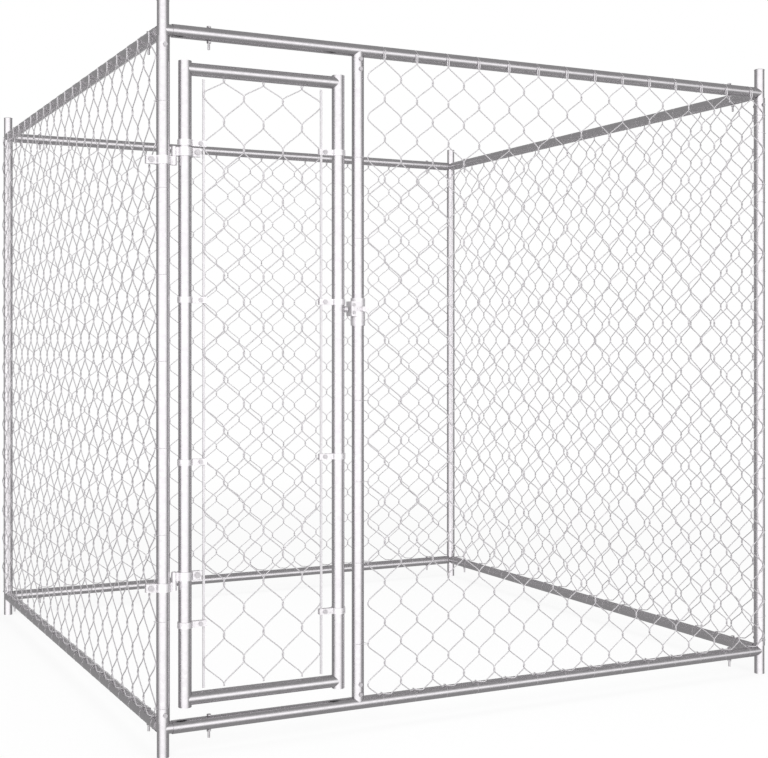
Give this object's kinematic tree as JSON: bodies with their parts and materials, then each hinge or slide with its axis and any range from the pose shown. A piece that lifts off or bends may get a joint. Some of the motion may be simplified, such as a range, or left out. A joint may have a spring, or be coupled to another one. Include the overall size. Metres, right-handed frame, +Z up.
{
  "type": "dog kennel run",
  "caption": "Free-standing square outdoor pen of galvanised tube with chain-link sides, open top and ground, and a hinged mesh door with a sliding bolt.",
  "frame": {"origin": "on the ground under the middle of the run", "axes": "+Z up, -Y toward the front where the door is, +X to the right as seen from the front"},
  "size_m": [1.9648, 1.9508, 1.85],
  "materials": {
    "tube": "galvanised, satin",
    "fitting": "hot-dip galvanised, matt",
    "wire": "galvanised wire, satin",
    "fastener": "zinc plated"
  },
  "bodies": {
    "frame": {"post_front_left": "tube", "post_front_right": "tube", "post_rear_left": "tube", "post_rear_right": "tube", "fitting_top_front_left": "fitting", "fitting_top_front_right": "fitting", "fitting_top_rear_left": "fitting", "fitting_top_rear_right": "fitting", "fitting_bottom_front_left": "fitting", "fitting_bottom_front_right": "fitting", "fitting_bottom_rear_left": "fitting", "fitting_bottom_rear_right": "fitting", "post_caps": "fitting", "rail_top_front": "tube", "rail_top_rear": "tube", "rail_top_left": "tube", "rail_top_right": "tube", "rail_bottom_front": "tube", "rail_bottom_rear": "tube", "rail_bottom_left": "tube", "rail_bottom_right": "tube", "jamb_post": "tube", "frame_bolts": "fastener", "frame_nuts": "fastener", "mesh_front": "wire", "mesh_rear": "wire", "mesh_left": "wire", "mesh_right": "wire", "ties_front": "wire", "ties_rear": "wire", "ties_left": "wire", "ties_right": "wire", "upper_post_hinge": "fitting", "lower_post_hinge": "fitting", "post_hinge_bolts": "fastener", "post_hinge_nuts": "fastener", "latch_case": "fitting", "latch_screws": "fastener"},
    "latch_bolt": {"latch_bolt": "fitting"},
    "door": {"hinge_stile": "tube", "latch_stile": "tube", "door_top_rail": "tube", "door_bottom_rail": "tube", "door_mesh": "wire", "hinge_side_bar": "fitting", "latch_side_bar": "fitting", "hinge_side_bands": "fitting", "latch_side_bands": "fitting", "band_bolts": "fastener", "band_nuts": "fastener", "upper_gate_hinge": "fitting", "lower_gate_hinge": "fitting", "gate_hinge_bolts": "fastener", "gate_hinge_nuts": "fastener", "strike_ring": "fitting"}
  },
  "joints": [
    {"name": "door_swing", "type": "hinge", "parent": "frame", "child": "door", "pos_m": [-0.9205, -0.9485, 1.47], "axis": [0, 0, -1], "range_deg": [0, 90]},
    {"name": "bolt_slide", "type": "slide", "parent": "frame", "child": "latch_bolt", "axis": [-1, 0, 0], "range_m": [0, 0.013]}
  ]
}
